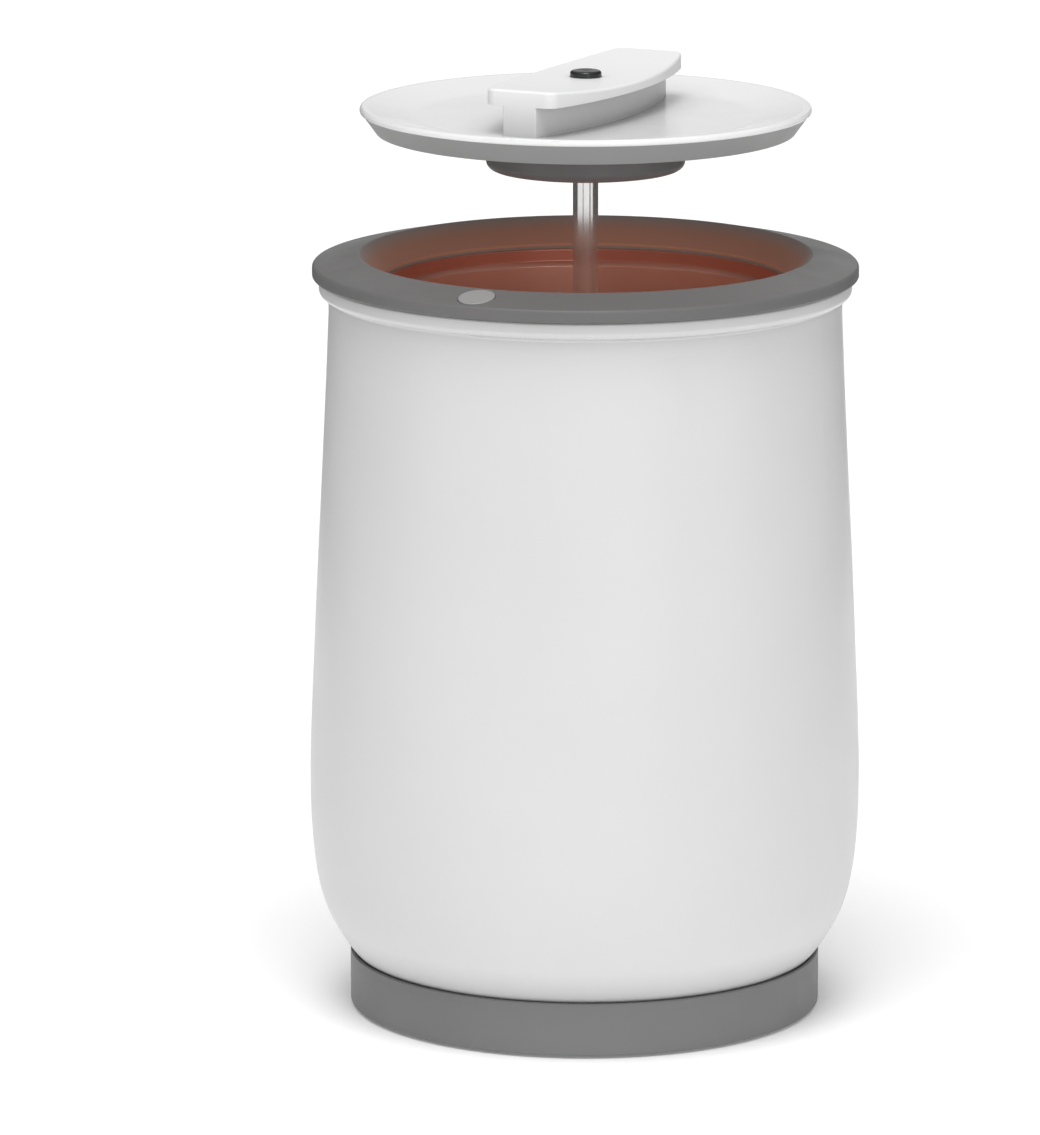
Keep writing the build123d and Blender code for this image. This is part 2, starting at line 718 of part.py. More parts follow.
def grip_collet():
    """Split sleeve on the rod's lower end that grips the guide tube's bore."""
    outer = TUBE_BORE - 0.1
    collet = turned(
        (5.8, COLLET_BOTTOM, 0),
        (outer, COLLET_BOTTOM, 0.6),
        (outer, COLLET_TOP, 0.6),
        (ROD_R, COLLET_TOP, 0),
        (ROD_R, ROD_BOTTOM, 0),
        (5.8, ROD_BOTTOM, 0),
    )
    slit_top = COLLET_TOP - 3.0
    for angle in (0.0, 90.0):
        slit = block(1.2, 30.0, COLLET_BOTTOM - 1.0, slit_top)
        collet -= Rot(0, 0, angle) * (slit - rod_at(ROD_R, ROD_BOTTOM, slit_top))
    return collet


def rod_collar():
    """Collar on the rod that the lid's hub rests on."""
    collar = sleeve(ROD_R, 10.0, 484.9, 487.7)
    return fillet(collar.edges().filter_by(GeomType.CIRCLE).sort_by(SortBy.RADIUS)[-2:], 0.5)


def rod_circlip():
    """Open ring in the rod's groove, over the hub's shoulder."""
    return sector(GROOVE_R, 9.0, GROOVE_BOTTOM + 0.1, GROOVE_TOP - 0.1, 0.0, 155.0)


# ---------------------------------------------------------------- lid


def lid_lower_shell():
    """Conical underside with a floor, and a ring of three lugs for the tray."""
    shell = turned(
        (HUB_HOLE, LID_BOTTOM, 0),
        (LID_BOTTOM_R, LID_BOTTOM, 1.2),
        (122.6, LID_EDGE_BOTTOM, 0),
        (120.0, LID_EDGE_BOTTOM, 0),
        (LID_BOTTOM_R - 1.6, LID_FLOOR_TOP, 1.0),
        (HUB_HOLE, LID_FLOOR_TOP, 0),
    )
    shell += sleeve(SOCKET_R - 2.2, SOCKET_R, SOCKET_BOTTOM, LID_BOTTOM)
    for angle in LUG_ANGLES:
        lug = sector(SOCKET_R - 1.0, SOCKET_R + 1.9, SOCKET_BOTTOM, LUG_TOP, angle, LUG_HALF_ANGLE)
        shell += lug
    for x, y in on_circle(LID_SCREW_CIRCLE, turned_by(45.0)):
        shell -= rod_at(3.2, LID_BOTTOM, LID_BOTTOM + LID_SCREW_RECESS, x, y)
        shell -= rod_at(1.6, LID_BOTTOM, LID_FLOOR_TOP, x, y)
    return shell


def lid_top_shell():
    """White dished cap with a rounded edge, and bosses for the lid screws."""
    shell = turned(
        (HUB_HOLE, LID_DISH_UNDER, 0),
        (HUB_HOLE, LID_DISH, 0),
        (LID_DISH_R, LID_DISH, 30.0),
        (119.6, LID_EDGE_TOP, 3.0),
        (LID_EDGE_R, LID_EDGE_TOP, 1.9),
        (LID_EDGE_R, LID_EDGE_BOTTOM, 0.9),
        (119.4, LID_EDGE_BOTTOM, 0),
        (LID_DISH_R, LID_DISH_UNDER, 0),
    )
    for x, y in on_circle(LID_SCREW_CIRCLE, turned_by(45.0)):
        shell += rod_at(3.5, LID_FLOOR_TOP, LID_DISH, x, y)
        shell -= rod_at(M3_R, LID_FLOOR_TOP, LID_SCREW_TIP, x, y)
    for x, y in HANDLE_SCREWS:
        shell -= rod_at(1.6, LID_DISH_UNDER, LID_DISH, x, y)
    return shell


def lid_insulation():
    """Insulating disc between the lid's shells."""
    disc = sleeve(HUB_HOLE + 0.8, 111.0, LID_FLOOR_TOP + 0.1, LID_DISH_UNDER - 0.2)
    for x, y in on_circle(LID_SCREW_CIRCLE, turned_by(45.0)):
        disc -= rod_at(4.2, LID_FLOOR_TOP, LID_DISH_UNDER, x, y)
    for x, y in HANDLE_SCREWS:
        disc -= rod_at(3.8, LID_FLOOR_TOP, LID_DISH_UNDER, x, y)
    return disc


def lid_screws():
    """Screws that join the lid's two shells."""
    seat = LID_BOTTOM + LID_SCREW_RECESS
    places = on_circle(LID_SCREW_CIRCLE, turned_by(45.0))
    return [pan_screw(x, y, seat, LID_SCREW_TIP, head=1.2) for x, y in places]


def handle_screws():
    """Screws that hold the handle from inside the lid."""
    return [pan_screw(x, y, LID_DISH_UNDER, HANDLE_SCREW_TIP, head=1.6) for x, y in HANDLE_SCREWS]


def lid_hub():
    """Flanged bush that the lid turns on, with a cup for the circlip."""
    return turned(
        (ROD_R + RUNNING, HUB_FLANGE_BOTTOM, 0),
        (HUB_FLANGE_R, HUB_FLANGE_BOTTOM, 0.4),
        (HUB_FLANGE_R, LID_BOTTOM, 0),
        (HUB_R, LID_BOTTOM, 0),
        (HUB_R, HUB_TOP, 0),
        (HUB_CUP_R, HUB_TOP, 0),
        (HUB_CUP_R, HUB_SHOULDER, 0),
        (ROD_R + RUNNING, HUB_SHOULDER, 0),
    )


def hub_nut():
    """Ring nut that clamps the hub to the lid, inside the handle."""
    return hexagon(28.0, LID_DISH, NUT_TOP) - rod_at(HUB_R, LID_DISH, NUT_TOP)


def bow(half_middle, half_end, half_length, low, high):
    """Bow-shaped plate along Y: two arcs between square ends."""
    right = ThreePointArc((half_end, -half_length), (half_middle, 0), (half_end, half_length))
    back = Line((half_end, half_length), (-half_end, half_length))
    left = ThreePointArc((-half_end, half_length), (-half_middle, 0), (-half_end, -half_length))
    front = Line((-half_end, -half_length), (half_end, -half_length))
    face = make_face([right.edge(), back.edge(), left.edge(), front.edge()])
    return Pos(0, 0, low) * extrude(face, high - low)


def handle():
    """Hollow bow-shaped handle with a dished plate on a narrower stem, and a button well."""
    sag = ThreePointArc(
        (-HANDLE_HALF_LENGTH, HANDLE_END_TOP),
        (0, HANDLE_MIDDLE_TOP),
        (HANDLE_HALF_LENGTH, HANDLE_END_TOP),
    )
    box = Polyline(
        (HANDLE_HALF_LENGTH, HANDLE_END_TOP),
        (HANDLE_HALF_LENGTH, HANDLE_PLATE_BOTTOM),
        (-HANDLE_HALF_LENGTH, HANDLE_PLATE_BOTTOM),
        (-HANDLE_HALF_LENGTH, HANDLE_END_TOP),
    )
    side_view = Plane.YZ * make_face([sag.edge(), *box.edges()])
    outline = bow(
        HANDLE_HALF_MIDDLE,
        HANDLE_HALF_END,
        HANDLE_HALF_LENGTH,
        HANDLE_PLATE_BOTTOM,
        HANDLE_END_TOP,
    )
    outline = fillet(outline.edges().filter_by(Axis.Z), HANDLE_CORNER)
    plate = outline & extrude(side_view, HANDLE_HALF_MIDDLE + 1.0, both=True)
    top_face = plate.faces().sort_by(Axis.Z)[-1]
    plate = fillet(top_face.edges(), 1.5)
    stem_middle = HANDLE_HALF_MIDDLE - HANDLE_OVERHANG
    stem_end = HANDLE_HALF_END - HANDLE_OVERHANG
    stem = bow(stem_middle, stem_end, HANDLE_HALF_LENGTH, LID_DISH, HANDLE_PLATE_BOTTOM)
    hollow = bow(
        stem_middle - HANDLE_WALL,
        stem_end - HANDLE_WALL,
        HANDLE_HALF_LENGTH - HANDLE_WALL,
        LID_DISH,
        HANDLE_HOLLOW_TOP,
    )
    shape = plate + fillet(stem.edges().filter_by(Axis.Z), 1.0) - hollow
    shape += rod_at(WELL_OUTER, LID_DISH, HANDLE_HOLLOW_TOP)
    for x, y in HANDLE_SCREWS:
        shape += rod_at(3.6, LID_DISH, HANDLE_HOLLOW_TOP, x, y)
        shape -= rod_at(M3_R, LID_DISH, HANDLE_SCREW_TIP, x, y)
    shape -= rod_at(NUT_WELL_R, LID_DISH, NUT_WELL_TOP)
    shape -= rod_at(WELL_R, LID_DISH, HANDLE_PLATE_BOTTOM)
    return shape - rod_at(KNOB_R + 0.3, LID_DISH, HANDLE_END_TOP)


def release_button():
    """Round knob with a flange that keeps it in the handle."""
    return turned(
        (0, KNOB_BOTTOM, 0),
        (KNOB_FLANGE_R, KNOB_BOTTOM, 0),
        (KNOB_FLANGE_R, KNOB_BOTTOM + KNOB_FLANGE, 0),
        (KNOB_R, KNOB_BOTTOM + KNOB_FLANGE, 0),
        (KNOB_R, KNOB_TOP - 0.4, 1.6),
        (KNOB_R - 2.4, KNOB_TOP, 1.0),
        (0, KNOB_TOP - 0.8, 0),
    )


def release_spring():
    """Coil spring between the hub and the release button."""
    wire_r = 0.4
    mean_r = 10.8
    low = HUB_TOP + wire_r + 0.1
    high = KNOB_BOTTOM - wire_r - 0.1
    turns = 3
    path = Helix(pitch=(high - low) / turns, height=high - low, radius=mean_r)
    start = Plane(origin=path @ 0, z_dir=path % 0)
    return Pos(0, 0, low) * sweep(start * Circle(wire_r), path=path, is_frenet=True)


def push_rod():
    """Thin rod inside the lift rod, from the release button to the cone."""
    return rod_at(PUSH_ROD_R, PUSH_ROD_BOTTOM, KNOB_BOTTOM)


def release_cone():
    """Cone on the push rod's lower end that relaxes the grip collet."""
    return turned(
        (PUSH_ROD_R, PUSH_ROD_BOTTOM, 0),
        (5.2, PUSH_ROD_BOTTOM, 0.4),
        (3.4, CONE_TOP, 0),
        (PUSH_ROD_R, CONE_TOP, 0),
    )


# ---------------------------------------------------------------- tray


def aroma_tray():
    """Round tray with a hole for the rod, vent holes, and three inner lugs."""
    inner = TRAY_R - TRAY_WALL
    tray = turned(
        (TRAY_R, TRAY_TOP, 0.6),
        (TRAY_R, TRAY_BOTTOM, 4.5),
        (TRAY_HOLE, TRAY_BOTTOM, 0.6),
        (TRAY_HOLE, TRAY_COLLAR_TOP, 0),
        (TRAY_HOLE + 2.0, TRAY_COLLAR_TOP, 0),
        (TRAY_HOLE + 2.0, TRAY_FLOOR, 0),
        (inner, TRAY_FLOOR, 2.5),
        (inner, TRAY_TOP, 0),
    )
    for angle in LUG_ANGLES:
        tray += sector(inner - 2.0, inner + 1.0, 486.0, 488.0, angle, LUG_HALF_ANGLE)
    for x, y in on_circle(30.0, [36.0 * k for k in range(10)]):
        tray -= rod_at(2.5, TRAY_BOTTOM, TRAY_FLOOR, x, y)
    return tray


def aroma_pad():
    """Felt ring that lies in the tray."""
    return sleeve(12.5, 47.0, TRAY_FLOOR, TRAY_FLOOR + 4.0)


NODES = [
    outer_housing,
    base_ring,
    bottom_cover,
    base_feet,
    bottom_screws,
    housing_screws,
    drum_support,
    rim_ring,
    inner_drum,
    drum_gasket,
    drum_screws,
    side_heater,
    bottom_heater,
    insulation_wrap,
    bottom_insulation,
    thermostat,
    thermal_fuse,
    power_board,
    board_screws,
    transformer,
    relay,
    capacitor,
    terminal_block,
    cord_gland,
    gland_nut,
    mains_lead_inner,
    heater_lead,
    control_cable,
    control_board,
    tact_switch,
    power_button,
    guide_tube,
    guide_nut,
    guide_bush,
    lift_rod,
    grip_collet,
    rod_collar,
    rod_circlip,
    lid_lower_shell,
    lid_top_shell,
    lid_insulation,
    lid_screws,
    handle_screws,
    lid_hub,
    hub_nut,
    handle,
    release_button,
    release_spring,
    push_rod,
    release_cone,
    aroma_tray,
    aroma_pad,
]

os.makedirs("parts", exist_ok=True)
for node in NODES:
    shape = node()
    if isinstance(shape, list):
        shape = Compound(children=shape)
    export_step(shape, f"parts/{node.__name__}.step")
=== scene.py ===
import math
import bpy
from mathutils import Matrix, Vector


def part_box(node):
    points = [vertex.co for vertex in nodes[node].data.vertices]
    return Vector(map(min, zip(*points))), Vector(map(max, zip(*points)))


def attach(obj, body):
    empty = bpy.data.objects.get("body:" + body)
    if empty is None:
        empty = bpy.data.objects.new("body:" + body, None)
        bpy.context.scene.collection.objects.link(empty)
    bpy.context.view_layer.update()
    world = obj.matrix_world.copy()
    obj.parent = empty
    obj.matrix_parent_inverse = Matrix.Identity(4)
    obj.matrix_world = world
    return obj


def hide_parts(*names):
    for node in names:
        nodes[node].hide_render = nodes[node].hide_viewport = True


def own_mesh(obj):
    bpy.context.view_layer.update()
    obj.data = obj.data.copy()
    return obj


# Bucket towel warmer with its lid raised. Metres; the floor is at z = 0 and the front is -Y.

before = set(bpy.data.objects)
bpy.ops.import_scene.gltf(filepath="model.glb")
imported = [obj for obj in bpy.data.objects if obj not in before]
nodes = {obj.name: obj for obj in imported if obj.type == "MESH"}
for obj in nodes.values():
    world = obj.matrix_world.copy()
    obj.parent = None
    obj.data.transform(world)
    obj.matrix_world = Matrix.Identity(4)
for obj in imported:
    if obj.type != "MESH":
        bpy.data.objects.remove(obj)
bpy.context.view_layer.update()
scene = bpy.context.scene

# Noise gives most of its values in this range.
NOISE_LOW = 0.3
NOISE_HIGH = 0.7

# Moulded plastic: noise scales are per metre, and bump depths are in metres.
TONE_SCALE = 9.0
TONE_LOW = 0.35
TONE_HIGH = 0.65
SMUDGE_SCALE = 30.0
SMUDGE_DETAIL = 4.0
SMUDGE_ROUGHNESS = 0.6
GLOSS_FACTORS = (0.88, 1.14)
WAVE_SCALE = 45.0
WAVE_DEPTH = 0.0006
GRAIN_DEPTH = 0.00012
COAT_ROUGHNESS = 0.08
# Shade painted into creases: occlusion samples, and the occlusion values at which the painted shade
# is full and at which it ends.
PAINTED_SHADE_SAMPLES = 6
PAINTED_SHADE_CLOSED = 0.30
PAINTED_SHADE_OPEN = 0.93

# The heater's warm light painted into the colour of the funnel's inside, by distance from the tub's
# axis.
FUNNEL_R = 0.1238
FUNNEL_EDGE = 0.0060
FUNNEL_PAINTED_WARM_LIGHT = (1.42, 0.86, 0.66)

# Worked metal.
CLOUD_SCALE = 25.0
CLOUD_FACTORS = (0.93, 1.05)
LINE_DETAIL = 3.0
LINE_ROUGHNESS = 0.6
LINE_DEPTH = 0.00004
METAL_GLOSS_FACTORS = (0.80, 1.25)

# The drum's colour, from its floor (0) to its mouth (1), with the heater's red glow painted in: a
# light wall, then a darker neck.
DRUM_PAINTED_GLOW = [
    (0.0, (0.60, 0.37, 0.31)),
    (0.972, (0.62, 0.36, 0.30)),
    (0.979, (0.52, 0.22, 0.17)),
    (1.0, (0.50, 0.21, 0.16)),
]
DRUM_CLOUD_SCALE = 14.0
DRUM_CLOUD_LOW = 0.92
DRUM_LINE_SCALE = 260.0
DRUM_LINE_STRETCH = (1.0, 1.0, 14.0)
DRUM_LINE_DEPTH = 0.00005
DRUM_LINE_STRENGTH = 0.08
DRUM_ROUGHNESS = (0.30, 0.42)
DRUM_METALLIC = 0.80

# Felt.
FIBRE_SCALE = 900.0
FIBRE_STRETCH = (1.0, 2.5, 1.0)
FIBRE_DETAIL = 6.0
FIBRE_ROUGHNESS = 0.75
FIBRE_FACTORS = (0.78, 1.10)
FIBRE_STRENGTH = 0.5
FIBRE_DEPTH = 0.0003
LUMP_SCALE = 160.0
LUMP_STRENGTH = 0.25
LUMP_DEPTH = 0.0006
FELT_ROUGHNESS = 0.95
FELT_SHEEN = 0.3

# Scent pad: a felt ring with a hole for the rod, sewn in radial channels and along its borders.
PAD_HOLE_R = 0.0125
PAD_INSET = 0.0001
PAD_EDGE_R = 0.0012
PAD_CUT = 0.3
PAD_CROWN = 0.0004
PAD_TURNS = 144
PAD_TOP_STEPS = 24
PAD_ROUND_STEPS = 6
PAD_BOTTOM_STEPS = 8
PAD_CHANNELS = 10
PAD_CHANNEL_DEPTH = 0.0005
PAD_CHANNEL_WIDTH = 0.16
PAD_STITCH_INSET = 0.0035
PAD_STITCH_DEPTH = 0.0005
PAD_STITCH_WIDTH = 0.0009

# Release spring.
SPRING_TURNS = 3
SPRING_STEPS = 60
SPRING_SIDES = 14
SPRING_WIRE_R = 0.0004

# Floor.
FLOOR_SIZE = 40.0
FLOOR_LIFT = 0.15
FLOOR_CLOUD_SCALE = 3.0
FLOOR_TONES = (0.93, 0.95)
FLOOR_ROUGHNESS = 0.85

# Camera: azimuth from the front towards +X.
CAMERA_AZIMUTH = math.radians(25.0)
CAMERA_DISTANCE = 4.600
CAMERA_HEIGHT = 1.2186
CAMERA_PITCH = math.radians(11.943)
CAMERA_PAN = math.radians(0.4473)
CAMERA_LENS = 269.93
CAMERA_REACH = 100.0

# Surroundings: brightness from behind the object (0) to the camera's side (1), and by height.
WORLD_TURN = math.radians(4.0)
WORLD_FRONT = [(0.0, 0.56), (0.04, 0.46), (0.14, 0.10), (0.55, 0.11), (1.0, 0.47)]
WORLD_TOP = [(0.0, 0.02), (1.0, 0.40)]

# Suns: name, azimuth from the camera's side, elevation, strength, spread (degrees).
SUNS = [("key", -8.0, 72.0, 1.75, 32.0), ("fill", 18.0, 12.0, 0.33, 22.0)]
SUN_DISTANCE = 4.0

# Warm lights in the drum's mouth.
GLOW_LIGHTS = 6
GLOW_R = 0.055
GLOW_DEPTH = 0.004
GLOW_ENERGY = 0.26
GLOW_COLOUR = (1.0, 0.62, 0.46)
GLOW_SIZE = 0.016

# Dark cards: azimuth from the camera's side (degrees), width and distance.
FLAGS = [(-122.0, 2.5, 1.2), (-22.0, 0.20, 1.8), (40.0, 0.30, 1.8), (114.0, 2.5, 1.2)]
FLAG_HEIGHT = 1.6
FLAG_CLOTH_SCALE = 2.0
FLAG_TONES = (0.070, 0.090)
FLAG_ROUGHNESS = 0.9

# ------------------------------------------------------------------ material helpers


def grey(value):
    """A neutral colour."""
    return (value, value, value)


def shaded(colour, factor):
    """The colour made lighter or darker."""
    return tuple(min(1.0, part * factor) for part in colour)


def new_material(name):
    """A material with a Principled shader. Returns it with its node tree and the shader."""
    made = bpy.data.materials.new(name)
    made.use_nodes = True
    tree = made.node_tree
    return made, tree, tree.nodes["Principled BSDF"]


def object_coordinates(tree, stretch=(1.0, 1.0, 1.0)):
    """Texture space in metres, squeezed along its axes by the factors."""
    source = tree.nodes.new("ShaderNodeTexCoord")
    mapping = tree.nodes.new("ShaderNodeMapping")
    mapping.inputs["Scale"].default_value = stretch
    tree.links.new(source.outputs["Object"], mapping.inputs["Vector"])
    return mapping.outputs["Vector"]


def noise(tree, space, scale, detail=2.0, roughness=0.5):
    """A noise texture's grey value."""
    made = tree.nodes.new("ShaderNodeTexNoise")
    made.inputs["Scale"].default_value = scale
    made.inputs["Detail"].default_value = detail
    made.inputs["Roughness"].default_value = roughness
    tree.links.new(space, made.inputs["Vector"])
    return made.outputs["Fac"]


def between(tree, value, low, high, from_low=NOISE_LOW, from_high=NOISE_HIGH):
    """The value mapped to a range."""
    made = tree.nodes.new("ShaderNodeMapRange")
    made.inputs["From Min"].default_value = from_low
    made.inputs["From Max"].default_value = from_high
    made.inputs["To Min"].default_value = low
    made.inputs["To Max"].default_value = high
    tree.links.new(value, made.inputs["Value"])
    return made.outputs["Result"]


def ramp(tree, value, stops):
    """A colour ramp: stops are (position, colour)."""
    made = tree.nodes.new("ShaderNodeValToRGB")
    elements = made.color_ramp.elements
    elements[0].position, elements[0].color = stops[0][0], (*stops[0][1], 1.0)
    elements[1].position, elements[1].color = stops[-1][0], (*stops[-1][1], 1.0)
    for position, colour in stops[1:-1]:
        elements.new(position).color = (*colour, 1.0)
    tree.links.new(value, made.inputs["Fac"])
    return made.outputs["Color"]


def noise_tones(tree, value, dark, light):
    """Colours from dark to light over the range that noise covers."""
    return ramp(tree, value, [(NOISE_LOW, dark), (NOISE_HIGH, light)])


def mixed(tree, blend, first, second):
    """Two colours combined in full by a blend mode."""
    made = tree.nodes.new("ShaderNodeMix")
    made.data_type = "RGBA"
    made.blend_type = blend
    made.inputs["Factor"].default_value = 1.0
    tree.links.new(first, made.inputs["A"])
    tree.links.new(second, made.inputs["B"])
    return made.outputs["Result"]


def bump(tree, shader, layers):
    """Stacked bumps: layers are (height value, strength, distance in metres)."""
    normal = None
    for height, strength, distance in layers:
        made = tree.nodes.new("ShaderNodeBump")
        made.inputs["Strength"].default_value = strength
        made.inputs["Distance"].default_value = distance
        tree.links.new(height, made.inputs["Height"])
        if normal is not None:
            tree.links.new(normal, made.inputs["Normal"])
        normal = made.outputs["Normal"]
    tree.links.new(normal, shader.inputs["Normal"])


def painted_crease_shade(tree, tone, reach, dark):
    """The tone, with shade painted darker into it in the creases where another surface stands
    close.
    """
    close = tree.nodes.new("ShaderNodeAmbientOcclusion")
    close.inputs["Distance"].default_value = reach
    close.samples = PAINTED_SHADE_SAMPLES
    stops = [(PAINTED_SHADE_CLOSED, grey(dark)), (PAINTED_SHADE_OPEN, grey(1.0))]
    return mixed(tree, "MULTIPLY", tone, ramp(tree, close.outputs["AO"], stops))


def painted_warm_light(tree, tone, space):
    """The tone, with the heater's warm light painted into it inside the funnel's mouth."""
    flat = tree.nodes.new("ShaderNodeVectorMath")
    flat.operation = "MULTIPLY"
    tree.links.new(space, flat.inputs[0])
    flat.inputs[1].default_value = (1.0, 1.0, 0.0)
    length = tree.nodes.new("ShaderNodeVectorMath")
    length.operation = "LENGTH"
    tree.links.new(flat.outputs["Vector"], length.inputs[0])
    share = between(tree, length.outputs["Value"], 0.0, 1.0, FUNNEL_R - FUNNEL_EDGE, FUNNEL_R)
    tint = ramp(tree, share, [(0.0, FUNNEL_PAINTED_WARM_LIGHT), (1.0, grey(1.0))])
    return mixed(tree, "MULTIPLY", tone, tint)


# ------------------------------------------------------------------ materials


def plastic(
    name,
    colour,
    rough,
    grain=0.10,
    grain_scale=1800.0,
    mottle=0.03,
    coat=0.0,
    ior=1.47,
    wave=0.05,
    painted_shade_reach=0.0,
    painted_shade_dark=1.0,
    painted_warm_light_inside=False,
):
    """Moulded plastic: fine grain, slow waviness, and slight changes of tone and gloss, with
    painted shade in creases and the heater's warm light painted in inside the funnel where asked
    for.
    """
    made, tree, shader = new_material(name)
    space = object_coordinates(tree)
    slow = noise(tree, space, TONE_SCALE, 3.0)
    dark = shaded(colour, 1.0 - mottle)
    light = shaded(colour, 1.0 + mottle)
    tone = ramp(tree, slow, [(TONE_LOW, dark), (TONE_HIGH, light)])
    # Shade painted into the colour where another surface stands close.
    if painted_shade_reach:
        tone = painted_crease_shade(tree, tone, painted_shade_reach, painted_shade_dark)
    # The heater's warm light painted into the funnel's inside.
    if painted_warm_light_inside:
        tone = painted_warm_light(tree, tone, space)
    tree.links.new(tone, shader.inputs["Base Color"])
    smudge = noise(tree, space, SMUDGE_SCALE, SMUDGE_DETAIL, SMUDGE_ROUGHNESS)
    gloss = between(tree, smudge, rough * GLOSS_FACTORS[0], rough * GLOSS_FACTORS[1])
    tree.links.new(gloss, shader.inputs["Roughness"])
    fine = noise(tree, space, grain_scale)
    slow_wave = noise(tree, space, WAVE_SCALE, 1.0)
    bump(tree, shader, [(slow_wave, wave, WAVE_DEPTH), (fine, grain, GRAIN_DEPTH)])
    shader.inputs["IOR"].default_value = ior
    shader.inputs["Coat Weight"].default_value = coat
    shader.inputs["Coat Roughness"].default_value = COAT_ROUGHNESS
    return made


def metal(name, colour, rough, along, scratch, scale=700.0, share=1.0):
    """Worked metal with cloudy gloss: fine marks lie across Z, squeezed by the factor along."""
    made, tree, shader = new_material(name)
    space = object_coordinates(tree)
    squeezed = object_coordinates(tree, (1.0, 1.0, along))
    lines = noise(tree, squeezed, scale, LINE_DETAIL, LINE_ROUGHNESS)
    cloud = noise(tree, space, CLOUD_SCALE, 3.0)
    dark = shaded(colour, CLOUD_FACTORS[0])
    light = shaded(colour, CLOUD_FACTORS[1])
    tree.links.new(noise_tones(tree, cloud, dark, light), shader.inputs["Base Color"])
    low = rough * METAL_GLOSS_FACTORS[0]
    high = rough * METAL_GLOSS_FACTORS[1]
    tree.links.new(between(tree, lines, low, high), shader.inputs["Roughness"])
    bump(tree, shader, [(lines, scratch, LINE_DEPTH)])
    shader.inputs["Metallic"].default_value = share
    return made


def drum_metal(name):
    """Metal with the heater's red glow painted into its colour: lighter towards the drum's floor
    and dark red near its mouth.
    """
    made, tree, shader = new_material(name)
    low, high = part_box("inner_drum")
    space = object_coordinates(tree)
    split = tree.nodes.new("ShaderNodeSeparateXYZ")
    tree.links.new(space, split.inputs["Vector"])
    height = between(tree, split.outputs["Z"], 0.0, 1.0, low.z, high.z)
    # The heater's red glow, painted into the colour by height.
    warm = ramp(tree, height, DRUM_PAINTED_GLOW)
    cloud = noise(tree, space, DRUM_CLOUD_SCALE, 3.0)
    shade = noise_tones(tree, cloud, grey(DRUM_CLOUD_LOW), grey(1.0))
    tree.links.new(mixed(tree, "MULTIPLY", warm, shade), shader.inputs["Base Color"])
    squeezed = object_coordinates(tree, DRUM_LINE_STRETCH)
    lines = noise(tree, squeezed, DRUM_LINE_SCALE, LINE_DETAIL, LINE_ROUGHNESS)
    tree.links.new(between(tree, lines, *DRUM_ROUGHNESS), shader.inputs["Roughness"])
    bump(tree, shader, [(lines, DRUM_LINE_STRENGTH, DRUM_LINE_DEPTH)])
    shader.inputs["Metallic"].default_value = DRUM_METALLIC
    return made


def felt(name, colour):
    """Pressed fibre with a fuzzy surface."""
    made, tree, shader = new_material(name)
    space = object_coordinates(tree)
    squeezed = object_coordinates(tree, FIBRE_STRETCH)
    fibre = noise(tree, squeezed, FIBRE_SCALE, FIBRE_DETAIL, FIBRE_ROUGHNESS)
    dark = shaded(colour, FIBRE_FACTORS[0])
    light = shaded(colour, FIBRE_FACTORS[1])
    tree.links.new(noise_tones(tree, fibre, dark, light), shader.inputs["Base Color"])
    lumps = noise(tree, space, LUMP_SCALE, 3.0)
    layers = [(lumps, LUMP_STRENGTH, LUMP_DEPTH), (fibre, FIBRE_STRENGTH, FIBRE_DEPTH)]
    bump(tree, shader, layers)
    shader.inputs["Roughness"].default_value = FELT_ROUGHNESS
    shader.inputs["Sheen Weight"].default_value = FELT_SHEEN
    return made


# White parts, with shade painted into their creases.
WHITES = {
    "housing_white": dict(
        colour=grey(0.71),
        rough=0.34,
        grain=0.04,
        mottle=0.010,
        wave=0.02,
        painted_shade_reach=0.050,
        painted_shade_dark=0.45,
    ),
    "lid_white": dict(
        colour=grey(0.89),
        rough=0.20,
        grain=0.015,
        mottle=0.008,
        coat=0.3,
        wave=0.015,
        painted_shade_reach=0.030,
        painted_shade_dark=0.55,
    ),
    "handle_white": dict(
        colour=grey(0.91),
        rough=0.36,
        grain=0.03,
        mottle=0.008,
        wave=0.015,
        painted_shade_reach=0.030,
        painted_shade_dark=0.57,
    ),
}

# Other plastics and rubbers.
PLASTICS = {
    "base_grey": dict(colour=(0.190, 0.190, 0.191), rough=0.50, grain=0.14, ior=1.42),
    # The rim's grey carries the heater's warm light, painted in inside the funnel.
    "rim_grey": dict(colour=(0.163, 0.160, 0.159), rough=0.42, ior=1.30, painted_warm_light_inside=True),
    "button_grey": dict(colour=grey(0.33), rough=0.38, grain=0.08),
    "lid_grey": dict(colour=grey(0.32), rough=0.50, grain=0.08, ior=1.25),
    "tray_dark": dict(colour=(0.150, 0.150, 0.151), rough=0.40),
    "knob_dark": dict(colour=(0.022, 0.022, 0.023), rough=0.26, grain=0.05),
    "foot_rubber": dict(colour=grey(0.025), rough=0.80, grain=0.4, grain_scale=900.0),
    "silicone": dict(colour=(0.42, 0.10, 0.04), rough=0.55, grain=0.25, grain_scale=1200.0),
    "gasket_grey": dict(colour=grey(0.12), rough=0.60, grain=0.2),
    "black_plastic": dict(colour=(0.020, 0.020, 0.021), rough=0.45, grain=0.2),
    "board_green": dict(colour=(0.015, 0.13, 0.05), rough=0.30, mottle=0.12),
    "cable_black": dict(colour=grey(0.015), rough=0.55, grain=0.25),
    "cable_white": dict(colour=(0.65, 0.65, 0.62), rough=0.50, grain=0.2),
}

